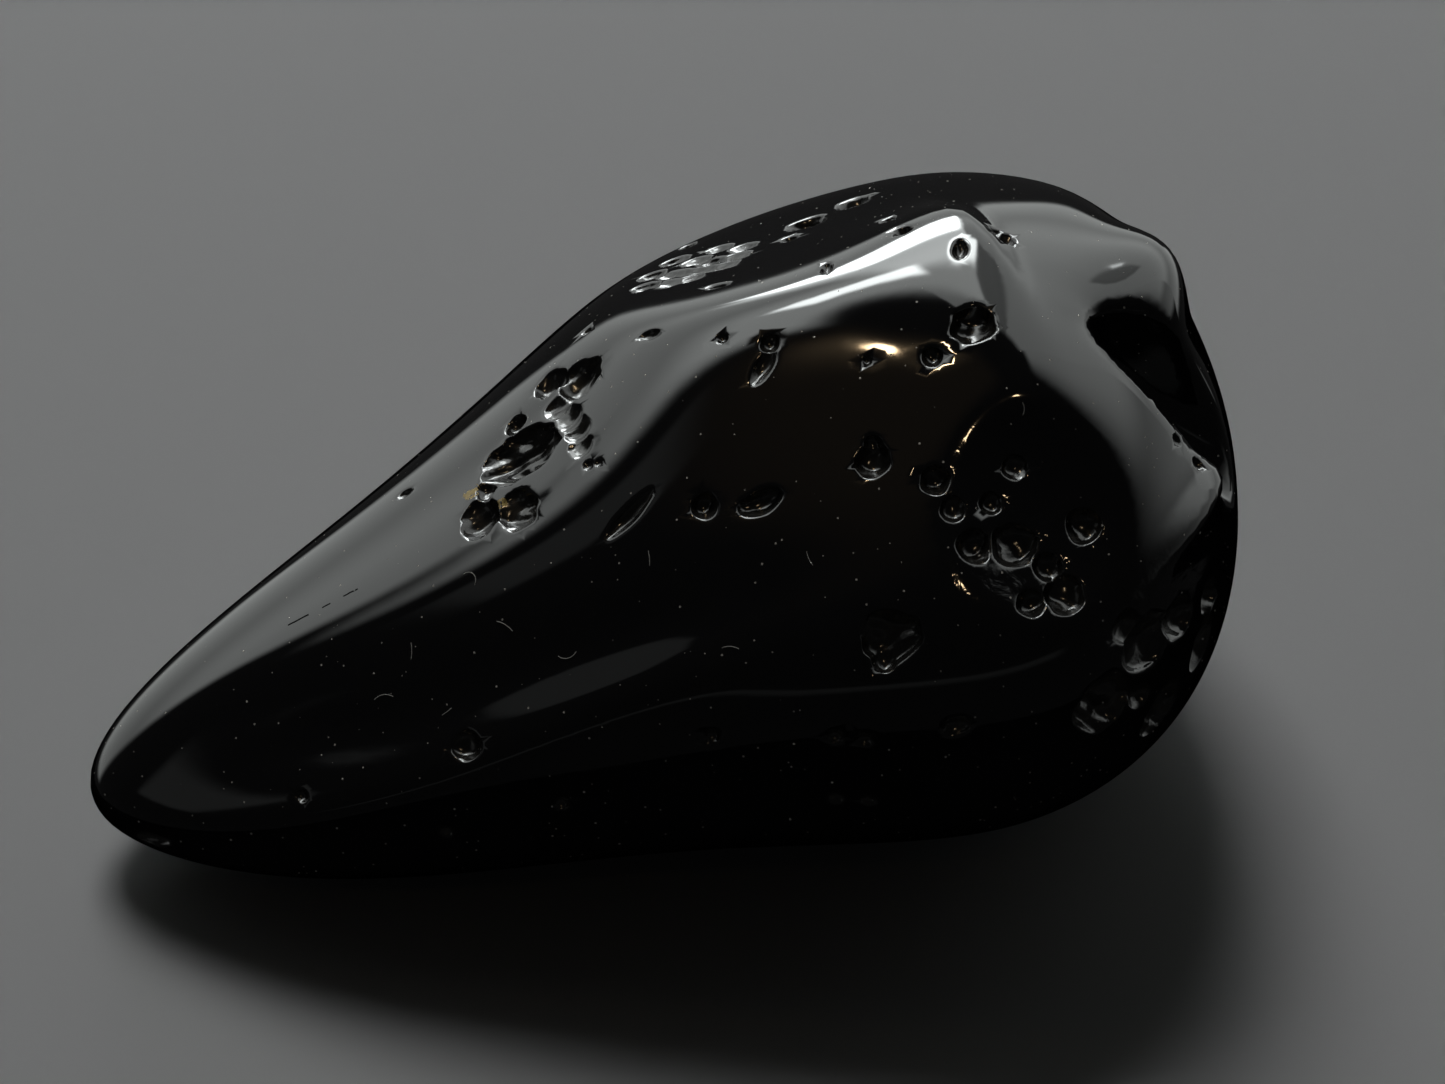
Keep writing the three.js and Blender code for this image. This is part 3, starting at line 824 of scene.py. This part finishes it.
# Each fibre: place along the stone, turn, length (mm), heading and curl (degrees)
FIBRES = [
    (-8.2, 33, 1.0, 60, 150),
    (-7.5, 45, 0.8, -20, -40),
    (-11.0, 44, 0.7, 70, 30),
    (-12.6, 51, 0.9, 35, -70),
    (-1.5, 49, 0.6, 80, 20),
    (0.8, 67, 0.7, 10, -50),
    (-5.3, 59, 0.9, -40, 100),
    (-10.0, 62, 0.5, 20, 10),
    (4.5, 58, 0.6, 120, -30),
    (13.0, 40, 0.5, 60, 60),
]
# Radius of a fibre, and how far over the smooth skin its middle runs (mm)
FIBRE_RADIUS = 0.015
FIBRE_LIFT = 0.015
FIBRE_STEPS = 12
FIBRE_SIDES = 5
# Keeps a straight fibre's side direction from vanishing
SIDE_NUDGE = (0.3, 0.5, 0.7)
LINT_COLOUR = (0.55, 0.54, 0.5, 1.0)
LINT_ROUGHNESS = 0.9


def fibre_path(x, turn, length, heading, curl):
    """Points of a curled fibre that lies on the smooth skin."""
    foot, axes = skin_frame(x, turn)
    spot, angle = foot.copy(), math.radians(heading)
    path = [spot.copy()]
    for _ in range(FIBRE_STEPS):
        step = math.cos(angle) * axes[0] + math.sin(angle) * axes[1]
        spot = spot + step * length / FIBRE_STEPS
        angle += math.radians(curl) / FIBRE_STEPS
        slope = gradient(body_distance, spot[None])[0]
        spot = spot - slope * (body_distance(spot[None])[0] - FIBRE_LIFT)
        path.append(spot.copy())
    return np.array(path)


def tube(path, first):
    """Vertices and faces of a closed thin tube; first is its first vertex's number."""
    along = unit(np.gradient(path, axis=0))
    side = unit(np.cross(along, unit(path[0] - path[-1]) + SIDE_NUDGE))
    other = np.cross(along, side)
    turns = np.arange(FIBRE_SIDES) * 2 * math.pi / FIBRE_SIDES
    rings = [side * math.cos(t) + other * math.sin(t) for t in turns]
    points = (path[:, None] + FIBRE_RADIUS * np.stack(rings, axis=1)).reshape(-1, 3)
    faces = []
    for i in range(len(path) - 1):
        for j in range(FIBRE_SIDES):
            k = (j + 1) % FIBRE_SIDES
            row, above = first + i * FIBRE_SIDES, first + (i + 1) * FIBRE_SIDES
            faces.append((row + j, row + k, above + k, above + j))
    last = first + (len(path) - 1) * FIBRE_SIDES
    faces.append(tuple(first + j for j in reversed(range(FIBRE_SIDES))))
    faces.append(tuple(last + j for j in range(FIBRE_SIDES)))
    return points, faces


def make_lint():
    """All the fibres as one mesh."""
    points, faces = [], []
    for fibre in FIBRES:
        ring, sides = tube(fibre_path(*fibre), sum(len(p) for p in points))
        points.append(ring)
        faces += sides
    points = np.concatenate(points)
    points[:, :2] -= BOX_MIDDLE
    mesh = bpy.data.meshes.new("lint")
    mesh.from_pydata((points * MM).tolist(), [], faces)
    mesh.materials.append(plain_material("lint_fibre", LINT_COLOUR, LINT_ROUGHNESS))
    return add_object("lint", mesh)


# ---- Studio: camera, floor, lamps, and the surroundings the glass reflects ----

# Camera: angles in degrees, all lengths in mm but the last, which is in metres
TARGET = (2.61, -0.78, 12.0)
CAMERA_AZIMUTH = -9.0
CAMERA_ELEVATION = 40.0
CAMERA_DISTANCE = 119.7
LENS_MM = 70.0
SENSOR_MM = 36.0
CLIP_START = 0.005

# Floor, sky and soft lamp: sizes in metres, the lamp's azimuth, elevation and distance
FLOOR_SIZE = 6.0
FLOOR_COLOUR = (0.5, 0.51, 0.51, 1.0)
FLOOR_ROUGHNESS = 0.9
WORLD_COLOUR = (0.98, 1.0, 1.0, 1.0)
WORLD_STRENGTH = 0.006
LAMP_PLACE = (-15.0, 58.0, 0.7)
LAMP_SIZE = 0.28
LAMP_WATTS = 1.5

# A shell of light (radius in metres) round a point of the stone (mm), seen in
# reflections only. Azimuth is degrees to the right of the camera's forward direction,
# elevation is degrees above level.
SHELL_RADIUS = 3.0
LIGHT_CENTRE = (8.0, -6.0, 22.0)
SHELL_LOWEST = -25

# Light of the dark room all round, and the tints of what is brighter in it
DARK_ROOM = 0.02
WALL_TINT = (0.96, 1.0, 0.98)
WINDOW_TINT = (0.95, 1.0, 1.0)
LAMP_TINT = (1.0, 0.72, 0.42)

# Each patch: azimuths, elevations, softness of its left, right, lower and upper
# edges, strength and tint
PATCHES = [
    # pale wall with a sill below: left end in two steps, middle, right, fading end
    ((-70, -27), (-17, 35), (8, 2, 6, 6), 0.85, WALL_TINT),
    ((-84, -27), (35, 69), (8, 2, 6, 5), 0.85, WALL_TINT),
    ((-27, 25), (-6.5, 75), (2, 2, 2.5, 6), 0.85, WALL_TINT),
    ((25, 62), (-14, 75), (2, 2, 6, 6), 0.8, WALL_TINT),
    ((62, 90), (-5, 72), (2, 40, 8, 6), 0.7, WALL_TINT),
    # the wall is brighter higher up, most of all above the window
    ((-70, 62), (14, 35), (8, 2, 16, 6), 0.9, WALL_TINT),
    ((-84, -27), (35, 69), (8, 2, 6, 5), 0.9, WALL_TINT),
    ((-27, 13), (35, 75), (2, 2, 6, 6), 0.9, WALL_TINT),
    ((13, 30), (35, 46), (2, 4, 6, 4), 0.9, WALL_TINT),
    ((30, 62), (35, 75), (4, 2, 6, 6), 0.9, WALL_TINT),
    ((62, 84), (22, 72), (2, 40, 14, 6), 0.9, WALL_TINT),
    ((-80, 13), (46, 68), (12, 3, 16, 6), 1.8, WALL_TINT),
    # window: its veil of light, then its bright lower, right and upper strips
    ((-20, 4), (18, 57), (6, 3, 5, 8), 4.5, WINDOW_TINT),
    ((-17, 1), (14, 35), (3, 4, 4, 4), 16.0, WINDOW_TINT),
    ((-1, 13), (44, 56), (4, 3, 4, 4), 14.0, WINDOW_TINT),
    ((-46, -15), (54, 61), (7, 4, 3, 3), 18.0, WINDOW_TINT),
    # dim opening to the left and a thin light line behind the viewer
    ((-119, -105), (5, 24), (3, 4, 4, 5), 0.16, WALL_TINT),
    ((-108, -94), (36.5, 54), (3, 3, 2, 8), 0.16, WALL_TINT),
    ((-181, -140), (-1, 1.5), (1, 10, 1, 1), 0.08, WALL_TINT),
    ((140, 181), (-1, 1.5), (10, 1, 1, 1), 0.08, WALL_TINT),
    # faint warm glow beside the near one of the small lamps
    ((-150, -90), (56, 78), (40, 20, 16, 10), 0.06, LAMP_TINT),
    ((-108, -98), (66, 73), (14, 14, 8, 8), 0.5, LAMP_TINT),
]

# Small warm lamps, seen as glints only: azimuth, elevation, distance and radius in
# metres, watts
GLINT_LAMPS = [
    (-98.7, 72.2, 0.0374, 0.00105, 0.0009),
    (172.0, 54.0, 2.5, 0.07, 2.0),
]


def direction(azimuth, elevation):
    """Unit vectors for directions given in degrees from the camera's forward."""
    a = np.radians(np.asarray(azimuth) - CAMERA_AZIMUTH)
    e = np.radians(np.asarray(elevation))
    return np.stack([np.sin(a) * np.cos(e), np.cos(a) * np.cos(e), np.sin(e)], axis=-1)


def place_camera():
    a, e = math.radians(CAMERA_AZIMUTH), math.radians(CAMERA_ELEVATION)
    back = np.array([math.sin(a) * math.cos(e), -math.cos(a) * math.cos(e), math.sin(e)])
    data = bpy.data.cameras.new("camera")
    data.lens = LENS_MM
    data.sensor_width = SENSOR_MM
    data.sensor_fit = "HORIZONTAL"
    data.clip_start = CLIP_START
    camera = add_object("camera", data)
    camera.location = (np.array(TARGET) + back * CAMERA_DISTANCE) * MM
    camera.rotation_euler = (math.pi / 2 - e, 0.0, a)
    bpy.context.scene.camera = camera


def ramp(x, middle, softness):
    """Rises smoothly from 0 to 1 round the middle."""
    t = np.clip((x - middle) / softness + 0.5, 0.0, 1.0)
    return t * t * (3 - 2 * t)


def shell_light(azimuth, elevation):
    """Light colour of the surroundings in the given directions."""
    light = np.full((len(azimuth), 3), DARK_ROOM)
    for sides, heights, soft, strength, tint in PATCHES:
        share = ramp(azimuth, sides[0], soft[0]) * (1 - ramp(azimuth, sides[1], soft[1]))
        share *= ramp(elevation, heights[0], soft[2]) * (1 - ramp(elevation, heights[1], soft[3]))
        light += strength * share[:, None] * np.array(tint)
    return light


def glow_material():
    """Shines with the mesh's own glow colours, and isn't sampled as a lamp."""
    material = bpy.data.materials.new("surroundings")
    material.use_nodes = True
    material.cycles.emission_sampling = "NONE"
    nodes = material.node_tree.nodes
    nodes.clear()
    colour = nodes.new("ShaderNodeAttribute")
    colour.attribute_name = "glow"
    glow = nodes.new("ShaderNodeEmission")
    output = nodes.new("ShaderNodeOutputMaterial")
    links = material.node_tree.links
    links.new(colour.outputs["Color"], glow.inputs["Color"])
    links.new(glow.outputs["Emission"], output.inputs["Surface"])
    return material


def build_surroundings():
    """The shell of light: a grid of whole degrees, from SHELL_LOWEST up to overhead."""
    azimuths = np.arange(-180.0, 181.0)
    elevations = np.arange(SHELL_LOWEST, 91.0)
    az, el = (grid.ravel() for grid in np.meshgrid(azimuths, elevations))
    columns = len(azimuths)
    corners = np.arange(columns * (len(elevations) - 1)).reshape(-1, columns)[:, :-1].ravel()
    faces = np.stack([corners, corners + 1, corners + columns + 1, corners + columns], axis=1)
    mesh = bpy.data.meshes.new("surroundings")
    points = direction(az, el) * SHELL_RADIUS + np.array(LIGHT_CENTRE) * MM
    mesh.from_pydata(points.tolist(), [], faces.tolist())
    colours = np.ones((len(az), 4))
    colours[:, :3] = shell_light(az, el)
    glow = mesh.color_attributes.new("glow", "FLOAT_COLOR", "POINT")
    glow.data.foreach_set("color", colours.ravel())
    mesh.materials.append(glow_material())
    shell = add_object("surroundings", mesh)
    shell.visible_camera = False
    shell.visible_diffuse = False
    shell.visible_shadow = False


def build_floor():
    bpy.ops.mesh.primitive_plane_add(size=FLOOR_SIZE, location=(0, 0, 0))
    floor = bpy.context.object
    floor.name = "floor"
    floor.data.materials.append(plain_material("paper", FLOOR_COLOUR, FLOOR_ROUGHNESS))
    floor.visible_glossy = False


def area_lamp(name, place, centre, size, watts):
    """A lamp that faces the centre (mm); place is its azimuth, elevation and distance (m)."""
    azimuth, elevation, distance = place
    data = bpy.data.lights.new(name, "AREA")
    data.size = size
    data.energy = watts
    lamp = add_object(name, data)
    towards = direction(azimuth, elevation)
    lamp.location = towards * distance + np.array(centre) * MM
    lamp.rotation_euler = Vector(towards).to_track_quat("Z", "Y").to_euler()
    return lamp


def build_lamp():
    """A large soft lamp behind the stone, for the floor and its shadow."""
    lamp = area_lamp("soft_lamp", LAMP_PLACE, (0.0, 0.0, 0.0), LAMP_SIZE, LAMP_WATTS)
    lamp.visible_glossy = False


def build_glint_lamps():
    for *place, radius, watts in GLINT_LAMPS:
        lamp = area_lamp("glint_lamp", place, LIGHT_CENTRE, 2 * radius, watts)
        lamp.data.shape = "DISK"
        lamp.data.color = LAMP_TINT
        lamp.visible_diffuse = False
        lamp.visible_camera = False


def build_world():
    world = bpy.data.worlds.new("studio")
    world.use_nodes = True
    background = world.node_tree.nodes["Background"]
    background.inputs["Color"].default_value = WORLD_COLOUR
    background.inputs["Strength"].default_value = WORLD_STRENGTH
    world.cycles_visibility.glossy = False
    bpy.context.scene.world = world
    bpy.context.scene.view_settings.view_transform = "Standard"


stone = make_stone("tektite_stone")
stone.data.materials.append(black_glass())
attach(stone, "root")
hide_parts("tektite")

lint = make_lint()
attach(lint, "root")

build_surroundings()
build_floor()
build_lamp()
build_glint_lamps()
build_world()
place_camera()
